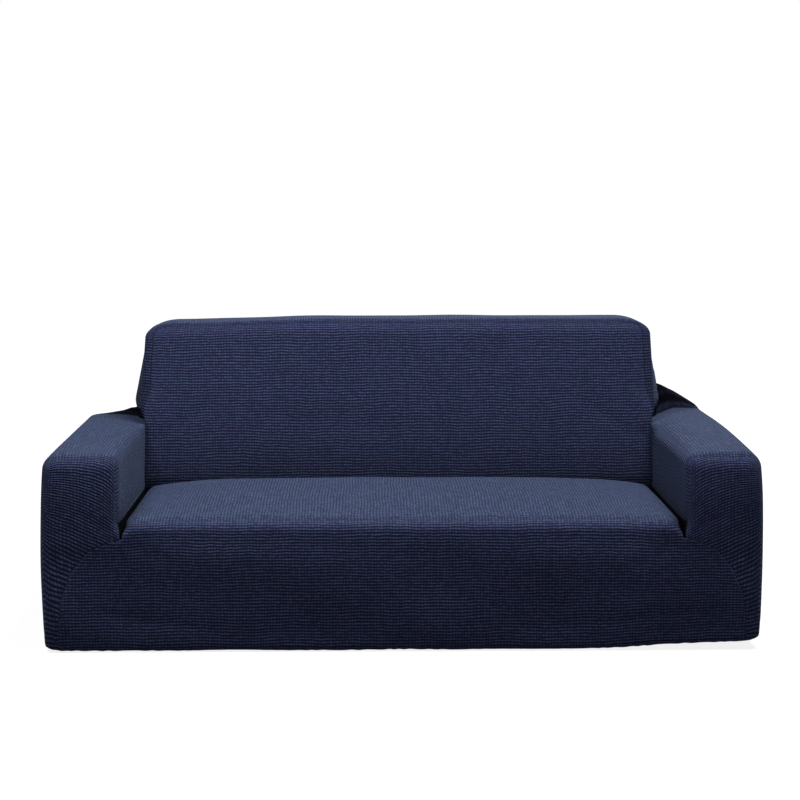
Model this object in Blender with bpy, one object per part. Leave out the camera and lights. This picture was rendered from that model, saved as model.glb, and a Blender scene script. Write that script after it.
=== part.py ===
"""Stretch slipcover for a two-seat sofa: five knitted pieces sewn into one hollow cover.

The cover is first laid out with sharp edges, as a set of grids that share their edge points. Its edges
are then rounded, the back is leaned, the seat is crowned and the hem is drawn in. Last, each sewn piece
gets the cloth's thickness, on the inner side, and stops a seam's gap short of its neighbours.

Units are metres. +X is the sitter's left-to-right as seen from the front, the front faces -Y, +Z is up.
The origin is under the middle of the cover, at the height of its hem.
"""
import bpy
import numpy as np

# Driving sizes of the cover as it hangs.
WIDTH = 1.80
DEPTH = 0.84
ARM_TOP = 0.490
BACK_TOP = 0.782
ARM_INNER = 0.705
SEAT_SIDE = 0.691
SEAT_FRONT_TOP = 0.332
NOTCH_FLOOR = 0.279
SEAT_DEPTH = 0.565
BACK_TUCK = 0.014
CLOTH = 0.0025
SEAM_GAP = 0.0003

# How the stretched cloth departs from straight edges.
SEAT_CROWN = 0.026
TUCK_DROP = 0.030
BACK_SLOPE = 0.274
BACK_FOOT = 0.347
BACK_SPREAD = 0.006
BACK_WIDENING = 0.012
BACK_FALL_LEFT = 0.010
HEM_TURN = 0.048
SIDE_BULGE = 0.007
APRON_WAVE = 0.003
ARM_CROWN_LEFT = 0.006
ARM_CROWN_RIGHT = 0.012
ARM_RISE_RIGHT = 0.020
FLARE = 0.045
WEB_LEFT = 0.026
WEB_RIGHT = 0.095
HEM_LIFT_RIGHT = 0.020
SEAT_ROLL = 0.018
ARM_ROLL = 0.014
HEM_DRAW = 0.006

# The flat layout that the cloth's swell and rounding start from.
HALF = WIDTH / 2 - SIDE_BULGE
FRONT = -DEPTH / 2
REAR = DEPTH / 2
BACK_FACE = FRONT + SEAT_DEPTH
SEAT_REAR = BACK_FACE - BACK_TUCK

# Radii along X, Y and Z of the rounded edges.
OUTER_EDGE = (0.038, 0.040, 0.038)
HEM_EDGE = (0.046, 0.034, 0.030)
SEAT_EDGE = (0.024, 0.055, 0.034)
BACK_EDGE = (0.085, 0.034, 0.045)

# Where each rounding or change of shape begins, and the length over which it grows to its full size.
HEM_EDGE_DOWN = (0.16, 0.16)
NOTCH_EDGE_UP = (NOTCH_FLOOR, 0.05)
SEAT_EDGE_UP = (NOTCH_FLOOR, 0.030)
BACK_EDGE_UP = (ARM_TOP, 0.11)
REAR_EDGE_OUT = (ARM_INNER, 0.07)
BEFORE_BACK = (BACK_FACE, 0.07)
CROWN_RUN = (FRONT, 0.30)
TUCK_RUN = (FRONT + 0.01, 0.12)
SPREAD_UP = (ARM_TOP, 0.06)
FLARE_RUN = (0.22, 0.18)
FALL_RUN = (-0.15, 0.5)
WEB_UP = (ARM_TOP - 0.09, 0.09)
WEB_FADE_UP = (ARM_TOP, 0.25)
WEB_RUN = (REAR - 0.034, 0.022)
SWELL_UP = (0.24, 0.25)
SWELL_OUT = (0.80, 0.10)
FRONT_ONLY = (FRONT + 0.03, 0.03)
LOW_WAVE_UP = (0.07, 0.06)
HEM_STILL = (0.0, 0.05)
ARM_CROWN_OUT = (ARM_INNER - 0.02, 0.10)
LIFT_OUT = (0.30, 0.56)
LIFT_FADE_UP = (0.0, 0.20)
LIFT_RUN = (0.10, 0.45)
SEAT_ROLL_UP = (0.19, SEAT_FRONT_TOP - 0.19)
SEAT_ROLL_IN = (SEAT_SIDE - 0.005, 0.12)
ARM_ROLL_UP = (0.36, ARM_TOP - 0.36)
DRAW_UP = (0.0, 0.13)
ROLL_FADE = (FRONT + 0.12, 0.12)

# The apron's two soft waves: radians for each metre along X and Z, and where the first one starts.
LOW_WAVE = 13.0
LOW_WAVE_START = 0.6
LONG_WAVE = 7.0
LONG_WAVE_LEAN = 18.0
LONG_WAVE_SHARE = 0.7

# Small distance by which two places may differ and still be the same, and one beyond every edge.
SAME = 1e-6
BEYOND = 9.0
PLAN_DIGITS = 5

# The seam between an arm piece and the apron, on the front: one row for each point, from the hem up.
SEAM_ROWS = (
    # height, distance from the middle
    (0.000, 0.858),
    (0.066, 0.853),
    (0.130, 0.846),
    (0.200, 0.822),
    (0.250, 0.783),
    (0.272, 0.735),
    (0.279, 0.705),
)

# Stations of the grids, closer together where the cloth bends.
SEAT_HALF = (0.0, 0.15, 0.30, 0.45, 0.58, 0.645, 0.675, SEAT_SIDE)
ARM_ACROSS = (0.0, 0.06, 0.20, 0.50, 0.80, 0.94, 1.0)
APRON_UP = (0.0, 0.012, 0.035, 0.085, 0.15, 0.21, 0.25, 0.271, NOTCH_FLOOR)
ARM_UP = (NOTCH_FLOOR, 0.300, 0.350, 0.420, 0.463, 0.482, ARM_TOP)
BACK_UP = (ARM_TOP, 0.520, 0.590, 0.670, 0.730, 0.764, 0.781, BACK_TOP)
SEAT_UP = (NOTCH_FLOOR, 0.295, 0.313, 0.326, SEAT_FRONT_TOP)
SEAT_ALONG = (FRONT, -0.409, -0.386, -0.345, -0.22, -0.09, 0.02, 0.085, 0.118, SEAT_REAR)
ARM_BEHIND = (BACK_FACE, 0.20, 0.28, 0.345, 0.385, 0.408, REAR)
HEM_INSETS = (0.0, 0.022, HEM_TURN)


def smooth(amount):
    """0 below 0, 1 above 1 and 3a^2 - 2a^3 between."""
    amount = np.clip(amount, 0.0, 1.0)
    return amount * amount * (3.0 - 2.0 * amount)


def ramp(place, run):
    """0 up to the start of a run and 1 from its end on, in a straight line between."""
    start, length = run
    return np.clip((place - start) / length, 0.0, 1.0)


def growth(place, run):
    """0 up to the start of a run, 1 from its end on."""
    start, length = run
    return smooth((place - start) / length)


def shrink(place, run):
    """0 from the start of a run on, 1 from its length before the start."""
    start, length = run
    return smooth((start - place) / length)


def grid(x, y, z):
    """Points (rows, columns, 3) of a flat patch whose coordinates broadcast against each other."""
    return np.stack(np.broadcast_arrays(x, y, z), axis=-1).astype(float)


def down(values):
    """Values that change from row to row of a patch."""
    return np.array(values, float)[:, None]


def across(values):
    """Values that change from column to column of a patch."""
    return np.array(values, float)[None, :]


def both_sides(half):
    """Stations from -x to +x from those of one half."""
    return tuple(-value for value in reversed(half[1:])) + tuple(half)


def round_box(points, low, high, radius):
    """Round a box's edges: each point keeps its direction from the box shrunk by the radii."""
    radius = np.maximum(radius, 1e-6)
    core = np.clip(points, low + radius, high - radius)
    reach = (points - core) / radius
    length = np.linalg.norm(reach, axis=-1, keepdims=True)
    return core + radius * reach / np.maximum(length, 1.0)


def limits(points, x, y, z):
    """One corner of a box for each point, from three values or arrays."""
    shape = points.shape[:-1]
    return np.stack([np.broadcast_to(value, shape) for value in (x, y, z)], axis=-1)


def round_outside(points):
    """Round the outer upright edges, the hem, the arms' tops and, last, their inner edges."""
    side = np.abs(points[..., 0])
    y = points[..., 1]
    z = points[..., 2]
    on_arm = side >= ARM_INNER - SAME
    near_hem = shrink(z, HEM_EDGE_DOWN)[..., None]
    radius = np.array(OUTER_EDGE) * (1.0 - near_hem) + np.array(HEM_EDGE) * near_hem
    # Towards the back's end the arm's rear edge runs into the web of cloth, and isn't rounded.
    at_web = (y > 0.0) & (z > ARM_TOP / 2)
    radius = radius * np.where(at_web, growth(side, REAR_EDGE_OUT), 1.0)[..., None]
    low = limits(points, -HALF, FRONT, 0.0)
    high = limits(points, HALF, REAR, np.where(on_arm, ARM_TOP, BEYOND))
    rounded = round_box(points, low, high, radius)
    # Inner edges of the arm: full from the notch up, gone at the notch's floor and at the back.
    inner_share = np.minimum(growth(z, NOTCH_EDGE_UP), shrink(y, BEFORE_BACK)) * on_arm
    mirror = limits(points, np.sign(points[..., 0]), 1.0, 1.0)
    low = limits(points, ARM_INNER, FRONT, -BEYOND)
    high = limits(points, BEYOND, BEYOND, ARM_TOP)
    inner = round_box(rounded * mirror, low, high, np.array(OUTER_EDGE) * inner_share[..., None])
    return np.where(on_arm[..., None], inner * mirror, rounded)


def round_seat(points):
    """Round the seat's top edges and its two front corners, which fade out at the notch's floor."""
    share = growth(points[..., 2], SEAT_EDGE_UP)
    low = np.array((-SEAT_SIDE, FRONT, -BEYOND))
    high = np.array((SEAT_SIDE, SEAT_REAR, SEAT_FRONT_TOP))
    return round_box(points, low, high, np.array(SEAT_EDGE) * share[..., None])


def round_back(points):
    """Round the back's top and its upright edges, which fade out at the top of the arms."""
    share = growth(points[..., 2], BACK_EDGE_UP)
    low = np.array((-ARM_INNER, BACK_FACE, -BEYOND))
    high = np.array((ARM_INNER, REAR, BACK_TOP))
    return round_box(points, low, high, np.array(BACK_EDGE) * share[..., None])


def settle(points, plan):
    """Let the rounded layout hang as stretched cloth does: every change fades out smoothly."""
    x, y, z = np.moveaxis(points.copy(), -1, 0)
    px, py, pz = np.moveaxis(plan, -1, 0)
    side = np.abs(px)
    outward = np.sign(px)
    right = px > 0.0
    before_back = py < BACK_FACE + SAME
    inside_arms = side < ARM_INNER + SAME

    # The seat's crown, fullest in the middle, and the deeper tucks behind the notches.
    on_seat = (side < SEAT_SIDE + SAME) & (py < SEAT_REAR + SAME) & (pz <= SEAT_FRONT_TOP + SAME)
    raised = smooth((pz - NOTCH_FLOOR) / (SEAT_FRONT_TOP - NOTCH_FLOOR))
    crown = SEAT_CROWN * (1.0 - (side / SEAT_SIDE) ** 5) * growth(py, CROWN_RUN)
    z = z + np.where(on_seat, raised * crown, 0.0)
    side_tuck = (side > SEAT_SIDE - SAME) & inside_arms & before_back
    rear_tuck = inside_arms & (py > SEAT_REAR - SAME) & before_back
    low_end = (1.0 - growth(pz, NOTCH_EDGE_UP)) * growth(py, TUCK_RUN)
    z = z - np.where((side_tuck | rear_tuck) & (pz >= NOTCH_FLOOR - SAME), TUCK_DROP * low_end, 0.0)

    # The back leans: its front face goes back with height and its rear stays upright.
    ahead = np.clip((py - FRONT) / SEAT_DEPTH, 0.0, 1.0) ** 4
    behind = (REAR - py) / (REAR - BACK_FACE)
    y = y + BACK_SLOPE * np.maximum(z - BACK_FOOT, 0.0) * np.where(py < BACK_FACE, ahead, behind)

    # The back widens down to the arms, its ends flare towards the rear and its top falls to the left.
    up = np.clip((BACK_TOP - pz) / (BACK_TOP - ARM_TOP), 0.0, 1.0)
    spread = (BACK_SPREAD + BACK_WIDENING * up) * growth(pz, SPREAD_UP) * (side / ARM_INNER) ** 4
    x = x + outward * np.where(inside_arms, spread, 0.0)
    out = np.where(side <= ARM_INNER, (side / ARM_INNER) ** 6, (HALF - side) / (HALF - ARM_INNER))
    x = x + outward * FLARE * out * np.where(pz >= ARM_TOP - SAME, up, 0.0) * growth(py, FLARE_RUN)
    z = z - BACK_FALL_LEFT * shrink(px, FALL_RUN) * (1.0 - up)

    # The web: the rear piece pulls the cloth up between each arm's rear corner and the back.
    web = np.where(right, WEB_RIGHT, WEB_LEFT) * growth(pz, WEB_UP) * (1.0 - growth(pz, WEB_FADE_UP))
    z = z + web * out * growth(py, WEB_RUN)

    # The outer sides and the front swell a little, and the apron waves softly above its hem.
    middle, reach = SWELL_UP
    swell = np.clip(1.0 - ((pz - middle) / reach) ** 2, 0.0, 1.0) * (pz <= ARM_TOP)
    x = x + outward * SIDE_BULGE * swell * growth(side, SWELL_OUT)
    middle, reach = LOW_WAVE_UP
    wave = np.sin(LOW_WAVE * px + LOW_WAVE_START) * np.exp(-((pz - middle) / reach) ** 2)
    long_wave = LONG_WAVE_SHARE * np.sin(LONG_WAVE * px + LONG_WAVE_LEAN * pz)
    wave = wave + long_wave * growth(pz, HEM_STILL) * shrink(pz, (NOTCH_FLOOR, HEM_STILL[1]))
    y = y - APRON_WAVE * wave * shrink(py, FRONT_ONLY) * (pz <= NOTCH_FLOOR + SAME)

    # The front rolls back, ever more steeply, towards the top of the seat and of each arm.
    seat_roll = SEAT_ROLL * ramp(pz, SEAT_ROLL_UP) ** 2 * shrink(side, SEAT_ROLL_IN)
    arm_roll = ARM_ROLL * ramp(pz, ARM_ROLL_UP) ** 2 * (side > ARM_INNER - SAME)
    y = y + (seat_roll + arm_roll) * shrink(py, ROLL_FADE)

    # Each arm is crowned along its length, and the right one is drawn up towards its rear.
    along = np.clip((py - FRONT) / DEPTH, 0.0, 1.0)
    crown = np.where(right, ARM_CROWN_RIGHT, ARM_CROWN_LEFT) * np.sin(np.pi * along)
    rise = np.where(right, ARM_RISE_RIGHT * along, 0.0)
    near_top = smooth((pz - NOTCH_FLOOR) / (ARM_TOP - NOTCH_FLOOR)) * (pz <= ARM_TOP + SAME)
    z = z + (crown + rise) * near_top * growth(side, ARM_CROWN_OUT) * (side > ARM_INNER - SAME)

    # The elastic draws the front and the rear in towards the hem, and the hem lifts on the right.
    y = y - np.sign(py) * HEM_DRAW * (1.0 - ramp(pz, DRAW_UP)) ** 2 * (np.abs(py) / REAR) ** 8
    lift = HEM_LIFT_RIGHT * growth(px, LIFT_OUT) * (1.0 - growth(pz, LIFT_FADE_UP))
    z = z + lift * shrink(py, LIFT_RUN)
    return np.stack([x, y, z], axis=-1)


def seam_distance(height):
    """How far from the middle the arm's seam runs at a height on the front."""
    heights, distances = np.array(SEAM_ROWS).T
    return np.interp(height, heights, distances)


class Skin:
    """The whole cover as one sheet of quads, with the points that patches share joined."""

    def __init__(self):
        self.index = {}
        self.plan = []
        self.total = []
        self.count = []
        self.quads = []
        self.panels = []

    def vertex(self, plan, place):
        key = tuple(np.round(plan, PLAN_DIGITS) + 0.0)
        if key not in self.index:
            self.index[key] = len(self.plan)
            self.plan.append(plan)
            self.total.append(np.zeros(3))
            self.count.append(0)
        number = self.index[key]
        self.total[number] = self.total[number] + place
        self.count[number] += 1
        return number

    def add(self, panel, plan, outward, rounding=round_outside):
        """Add one patch to a panel, its quads turned to face outward."""
        places = settle(rounding(plan), plan)
        rows, columns = plan.shape[:2]
        numbers = [[self.vertex(plan[r, c], places[r, c]) for c in range(columns)] for r in range(rows)]
        middle_r, middle_c = (rows - 1) // 2, (columns - 1) // 2
        along = plan[middle_r + 1, middle_c] - plan[middle_r, middle_c]
        over = plan[middle_r, middle_c + 1] - plan[middle_r, middle_c]
        turned = np.dot(np.cross(along, over), outward) < 0.0
        for r in range(rows - 1):
            for c in range(columns - 1):
                quad = [numbers[r][c], numbers[r + 1][c], numbers[r + 1][c + 1], numbers[r][c + 1]]
                if len(set(quad)) > 2:
                    self.quads.append(quad[::-1] if turned else quad)
                    self.panels.append(panel)

    def points(self):
        """The joined points, moved so that the origin is under the middle of the cover."""
        points = np.array(self.total) / np.array(self.count)[:, None]
        low = points.min(axis=0)
        high = points.max(axis=0)
        return points - np.array(((low[0] + high[0]) / 2, (low[1] + high[1]) / 2, low[2]))


def face_normals(points, quads):
    """The quads' normals with their areas as lengths: the cross product of the diagonals."""
    a, b, c, d = (points[quads[:, corner]] for corner in range(4))
    return np.cross(c - a, d - b)


def unit(vectors):
    return vectors / np.maximum(np.linalg.norm(vectors, axis=-1, keepdims=True), 1e-12)


def lay_out_seat(skin):
    """Seat, its walls down into the tucks, and the apron from the seat's front down to the hem."""
    columns = both_sides(SEAT_HALF)
    name = "seat_and_apron"
    skin.add(name, grid(across(columns), down(SEAT_ALONG), SEAT_FRONT_TOP), (0, 0, 1), round_seat)
    skin.add(name, grid(across(columns), FRONT, down(SEAT_UP)), (0, -1, 0), round_seat)
    skin.add(name, grid(across(columns), SEAT_REAR, down(SEAT_UP)), (0, 1, 0), round_seat)
    for side in (-1, 1):
        wall = grid(side * SEAT_SIDE, across(SEAT_ALONG), down(SEAT_UP))
        skin.add(name, wall, (side, 0, 0), round_seat)
        floor_x = (side * SEAT_SIDE, side * ARM_INNER)
        skin.add(name, grid(across(floor_x), down(SEAT_ALONG), NOTCH_FLOOR), (0, 0, 1))
        skin.add(name, grid(across(floor_x), down((SEAT_REAR, BACK_FACE)), NOTCH_FLOOR), (0, 0, 1))
        # Under the notch's floor the columns run straight, and from there they spread to the seam.
        spread = across((0.0, 0.0, 0.54, 1.0))
        inner = across((SEAT_SIDE, ARM_INNER, ARM_INNER, ARM_INNER))
        x = side * (inner + (seam_distance(down(APRON_UP)) - ARM_INNER) * spread)
        skin.add(name, grid(x, FRONT, down(APRON_UP)), (0, -1, 0))
        add_hem(skin, name, grid(x[0], FRONT, 0.0))
    skin.add(name, grid(across(columns), down((SEAT_REAR, BACK_FACE)), NOTCH_FLOOR), (0, 0, 1))
    skin.add(name, grid(across(columns), FRONT, down(APRON_UP)), (0, -1, 0))
    add_hem(skin, name, grid(np.array(columns), FRONT, 0.0))


def add_hem(skin, name, edge):
    """The hem under a stretch of the lower edge, turned in towards the middle on mitred lines."""
    inset = np.array(HEM_INSETS)[:, None]
    x = edge[None, :, 0] * (1.0 - inset / HALF)
    y = edge[None, :, 1] * (1.0 - inset / REAR)
    skin.add(name, grid(x, y, 0.0), (0, 0, -1))


def lay_out_arm(skin, name, side):
    """Inner side, top, outer side and front of one arm, with the hem along it."""
    rows = SEAT_ALONG + ARM_BEHIND
    width = HALF - ARM_INNER
    top_x = side * (ARM_INNER + width * np.array(ARM_ACROSS))
    skin.add(name, grid(side * ARM_INNER, across(SEAT_ALONG + (BACK_FACE,)), down(ARM_UP)), (-side, 0, 0))
    skin.add(name, grid(across(top_x), down(rows), ARM_TOP), (0, 0, 1))
    outer_up = APRON_UP + ARM_UP[1:]
    skin.add(name, grid(side * HALF, across(rows), down(outer_up)), (side, 0, 0))
    inner_edge = np.where(down(outer_up) > NOTCH_FLOOR, ARM_INNER, seam_distance(down(outer_up)))
    front_x = side * (inner_edge + (HALF - inner_edge) * across(ARM_ACROSS))
    skin.add(name, grid(front_x, FRONT, down(outer_up)), (0, -1, 0))
    add_hem(skin, name, grid(front_x[0], FRONT, 0.0))
    add_hem(skin, name, grid(side * HALF, np.array(rows), 0.0))


def lay_out_inside_back(skin):
    """Front of the back from the tuck up, its top, and its two ends above the arms."""
    name = "inside_back"
    columns = both_sides(SEAT_HALF + (ARM_INNER,))
    skin.add(name, grid(across(columns), BACK_FACE, down(ARM_UP + BACK_UP[1:])), (0, -1, 0), round_back)
    skin.add(name, grid(across(columns), down(ARM_BEHIND), BACK_TOP), (0, 0, 1), round_back)
    for side in (-1, 1):
        end = grid(side * ARM_INNER, across(ARM_BEHIND), down(BACK_UP))
        skin.add(name, end, (side, 0, 0), round_back)


def lay_out_outside_back(skin):
    """The rear: full width below the arms' tops, and the back's width above them."""
    name = "outside_back"
    columns = both_sides(SEAT_HALF + (ARM_INNER,))
    outer_up = APRON_UP + ARM_UP[1:]
    skin.add(name, grid(across(columns), REAR, down(outer_up)), (0, 1, 0))
    skin.add(name, grid(across(columns), REAR, down(BACK_UP)), (0, 1, 0), round_back)
    add_hem(skin, name, grid(np.array(columns), REAR, 0.0))
    width = HALF - ARM_INNER
    for side in (-1, 1):
        x = side * (ARM_INNER + width * np.array(ARM_ACROSS))
        skin.add(name, grid(across(x), REAR, down(outer_up)), (0, 1, 0))
        add_hem(skin, name, grid(x, REAR, 0.0))


def cloth_material(name, colour, roughness):
    """A plain knit: its colour and how dull it is."""
    material = bpy.data.materials.new(name)
    material.use_nodes = True
    shader = material.node_tree.nodes["Principled BSDF"]
    shader.inputs["Base Color"].default_value = colour
    shader.inputs["Roughness"].default_value = roughness
    shader.inputs["Metallic"].default_value = 0.0
    material.diffuse_color = colour
    return material


def rim_edges(quads):
    """Directed edges that belong to one quad only, as the quad runs round them."""
    starts = quads.reshape(-1).tolist()
    ends = np.roll(quads, -1, axis=1).reshape(-1).tolist()
    forward = set(zip(starts, ends))
    return [(a, b) for a, b in zip(starts, ends) if a != b and (b, a) not in forward]


def corners(quads):
    """The quads' corners, without the repeated ones where a quad narrows to a triangle."""
    return [list(dict.fromkeys(quad)) for quad in quads.tolist()]


def make_panel(skin, name, points, normals, material):
    """Give one panel the cloth's thickness and set its sewn edges half a seam's gap back."""
    quads = np.array([quad for quad, panel in zip(skin.quads, skin.panels) if panel == name])
    others = np.array([quad for quad, panel in zip(skin.quads, skin.panels) if panel != name])
    sewn = np.intersect1d(quads, others)
    middles = points[quads].mean(axis=1)
    inward = np.zeros_like(points)
    for corner in range(4):
        np.add.at(inward, quads[:, corner], unit(middles - points[quads[:, corner]]))
    along = np.zeros_like(points)
    for a, b in rim_edges(quads):
        if a in sewn and b in sewn:
            step = points[b] - points[a]
            along[a] += step
            along[b] += step
    along = unit(along)
    inward -= along * np.sum(inward * along, axis=-1, keepdims=True)
    inward -= normals * np.sum(inward * normals, axis=-1, keepdims=True)
    placed = points.copy()
    placed[sewn] += unit(inward[sewn]) * SEAM_GAP / 2

    used, local = np.unique(quads, return_inverse=True)
    local = local.reshape(quads.shape)
    outside = placed[used]
    inside = outside - normals[used] * CLOTH
    total = len(used)
    faces = corners(local) + corners(local[:, ::-1] + total)
    for a, b in rim_edges(local):
        # Both panels at a seam split its edge strip on the same diagonal, so that their rims match.
        if a < b:
            faces += [[b, a, b + total], [a, a + total, b + total]]
        else:
            faces += [[b, a, a + total], [b, a + total, b + total]]
    mesh = bpy.data.meshes.new(name)
    mesh.from_pydata(np.vstack([outside, inside]).tolist(), [], faces)
    mesh.validate()
    mesh.shade_smooth()
    mesh.set_sharp_from_angle(angle=np.radians(60.0))
    mesh.materials.append(material)
    bpy.context.scene.collection.objects.link(bpy.data.objects.new(name, mesh))


def build():
    for old in list(bpy.data.objects):
        bpy.data.objects.remove(old)
    skin = Skin()
    lay_out_seat(skin)
    lay_out_arm(skin, "arm_left", -1)
    lay_out_arm(skin, "arm_right", 1)
    lay_out_inside_back(skin)
    lay_out_outside_back(skin)
    points = skin.points()
    quads = np.array(skin.quads)
    areas = face_normals(points, quads)
    normals = np.zeros_like(points)
    for corner in range(4):
        np.add.at(normals, quads[:, corner], areas)
    normals = unit(normals)
    # One row for each panel: its name, its colour and its roughness.
    navy = (0.016, 0.021, 0.062, 1.0)
    panels = (
        ("seat_and_apron", navy, 0.86),
        ("arm_left", navy, 0.86),
        ("arm_right", navy, 0.86),
        ("inside_back", navy, 0.86),
        ("outside_back", navy, 0.86),
    )
    for name, colour, roughness in panels:
        make_panel(skin, name, points, normals, cloth_material("knit_" + name, colour, roughness))


build()
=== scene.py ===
"""Looks of the stretch-knit slipcover: five knitted pieces, the floor, the lights and the camera.

Metres, in the frame of the solids: +X to the right as seen from the front, the front faces -Y, and
Z counts from the hem up.
"""

import bpy
import numpy as np
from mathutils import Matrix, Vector


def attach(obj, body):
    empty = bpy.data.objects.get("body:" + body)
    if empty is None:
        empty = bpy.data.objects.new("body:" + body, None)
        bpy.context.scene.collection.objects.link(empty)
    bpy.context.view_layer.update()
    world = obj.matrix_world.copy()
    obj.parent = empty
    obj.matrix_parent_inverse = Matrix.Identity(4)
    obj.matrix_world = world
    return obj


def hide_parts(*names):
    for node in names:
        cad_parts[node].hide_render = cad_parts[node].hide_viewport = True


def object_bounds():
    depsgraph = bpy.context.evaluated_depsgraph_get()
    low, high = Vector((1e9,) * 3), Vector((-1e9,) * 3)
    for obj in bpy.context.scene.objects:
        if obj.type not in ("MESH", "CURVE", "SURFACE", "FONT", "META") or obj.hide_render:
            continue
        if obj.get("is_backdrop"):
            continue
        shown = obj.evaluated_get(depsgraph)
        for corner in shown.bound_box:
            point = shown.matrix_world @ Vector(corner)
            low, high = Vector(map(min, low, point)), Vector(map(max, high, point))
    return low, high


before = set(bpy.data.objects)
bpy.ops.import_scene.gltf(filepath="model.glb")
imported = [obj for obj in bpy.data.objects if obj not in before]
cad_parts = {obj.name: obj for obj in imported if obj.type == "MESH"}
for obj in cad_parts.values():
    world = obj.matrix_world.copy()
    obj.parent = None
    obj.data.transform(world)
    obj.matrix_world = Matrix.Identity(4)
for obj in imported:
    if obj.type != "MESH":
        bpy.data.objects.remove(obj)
cad_low, cad_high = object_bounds()

# -------------------------------------------------------------------------------------------------
# Seat and apron. One cut of navy waffle knit covers the seat, goes down into the tucks beside and
# behind it, and falls over the front as the apron. It is sewn to the arm pieces along the notches
# and turned in at its elastic hem. How any piece is laid out, hangs and is knitted starts here too.

# The layout: the cover as if folded from flat cloth with sharp edges, before it is stretched.
SOLID_SWELL = 0.007
HALF = (cad_high.x - cad_low.x) / 2 - SOLID_SWELL
DEPTH = 0.84
FRONT = -DEPTH / 2
REAR = DEPTH / 2
BACK_TOP = cad_high.z
ARM_TOP = 0.490
ARM_INNER = 0.705
SEAT_SIDE = 0.698
SEAT_DEPTH = 0.565
SEAT_FRONT_TOP = 0.332
NOTCH_FLOOR = 0.279
BACK_TUCK = 0.014
BACK_FACE = FRONT + SEAT_DEPTH
SEAT_REAR = BACK_FACE - BACK_TUCK
HEM_TURN = 0.048

# Places nearer than SAME are one place, and BEYOND is further out than any of them.
SAME = 1e-6
BEYOND = 9.0


def smooth(amount):
    """0 below 0, 1 above 1 and 3a^2 - 2a^3 between."""
    amount = np.clip(amount, 0.0, 1.0)
    return amount * amount * (3.0 - 2.0 * amount)


def ramp(place, run):
    """0 up to the start of a run and 1 from its end on, in a straight line between."""
    start, length = run
    return np.clip((place - start) / length, 0.0, 1.0)


def growth(place, run):
    """0 up to the start of a run, 1 from its end on, and smooth between."""
    start, length = run
    return smooth((place - start) / length)


def shrink(place, run):
    """0 from the start of a run on, 1 from its length before the start, and smooth between."""
    start, length = run
    return smooth((start - place) / length)


# Radii along X, Y and Z of the rounded edges, and the runs over which they reach their full size.
OUTER_EDGE = (0.038, 0.040, 0.038)
INNER_EDGE = (0.024, 0.034, 0.034)
HEM_EDGE = (0.046, 0.018, 0.015)
SEAT_EDGE = (0.034, 0.055, 0.034)
HEM_EDGE_DOWN = (0.16, 0.16)
NOTCH_EDGE_UP = (NOTCH_FLOOR, 0.05)
SEAT_EDGE_UP = (NOTCH_FLOOR, 0.030)
REAR_EDGE_OUT = (ARM_INNER, 0.07)
BEFORE_BACK = (BACK_FACE, 0.07)


def round_box(points, low, high, radius):
    """Round a box's edges: each point keeps its direction from the box shrunk by the radii."""
    radius = np.maximum(radius, SAME)
    core = np.clip(points, low + radius, high - radius)
    reach = (points - core) / radius
    length = np.linalg.norm(reach, axis=-1, keepdims=True)
    return core + radius * reach / np.maximum(length, 1.0)


def limits(points, x, y, z):
    """One corner of a box for each point, from three values or arrays."""
    shape = points.shape[:-1]
    return np.stack([np.broadcast_to(value, shape) for value in (x, y, z)], axis=-1)


def round_outside(points):
    """Round the outer upright edges, the hem, the arms' tops and, last, their inner edges.

    The outer radii turn into the hem's towards the floor. An arm is mirrored to the right to round
    its inner edge, whose radii grow with the height over the notch and fade at the back.
    """
    side = np.abs(points[..., 0])
    y = points[..., 1]
    z = points[..., 2]
    on_arm = side >= ARM_INNER - SAME
    near_hem = shrink(z, HEM_EDGE_DOWN)[..., None]
    radius = np.array(OUTER_EDGE) * (1.0 - near_hem) + np.array(HEM_EDGE) * near_hem
    at_web = (y > 0.0) & (z > ARM_TOP / 2)
    radius = radius * np.where(at_web, growth(side, REAR_EDGE_OUT), 1.0)[..., None]
    low = limits(points, -HALF, FRONT, 0.0)
    high = limits(points, HALF, REAR, np.where(on_arm, ARM_TOP, BEYOND))
    rounded = round_box(points, low, high, radius)
    inner_share = np.minimum(growth(z, NOTCH_EDGE_UP), shrink(y, BEFORE_BACK)) * on_arm
    mirror = limits(points, np.sign(points[..., 0]), 1.0, 1.0)
    low = limits(points, ARM_INNER, FRONT, -BEYOND)
    high = limits(points, BEYOND, BEYOND, ARM_TOP)
    radius = np.array(INNER_EDGE) * inner_share[..., None]
    inner = round_box(rounded * mirror, low, high, radius)
    return np.where(on_arm[..., None], inner * mirror, rounded)


def round_seat(points):
    """Round the seat's top edges and its two front corners, which fade out at the notch's floor."""
    share = growth(points[..., 2], SEAT_EDGE_UP)
    low = np.array((-SEAT_SIDE, FRONT, -BEYOND))
    high = np.array((SEAT_SIDE, SEAT_REAR, SEAT_FRONT_TOP))
    return round_box(points, low, high, np.array(SEAT_EDGE) * share[..., None])


# How the stretched seat stands over its layout, and how its tucks hang below the notches.
SEAT_CROWN = 0.026
CROWN_POWER = 5
CROWN_RUN = (FRONT, 0.30)
TUCK_DROP = 0.030
TUCK_RUN = (FRONT + 0.01, 0.12)


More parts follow.
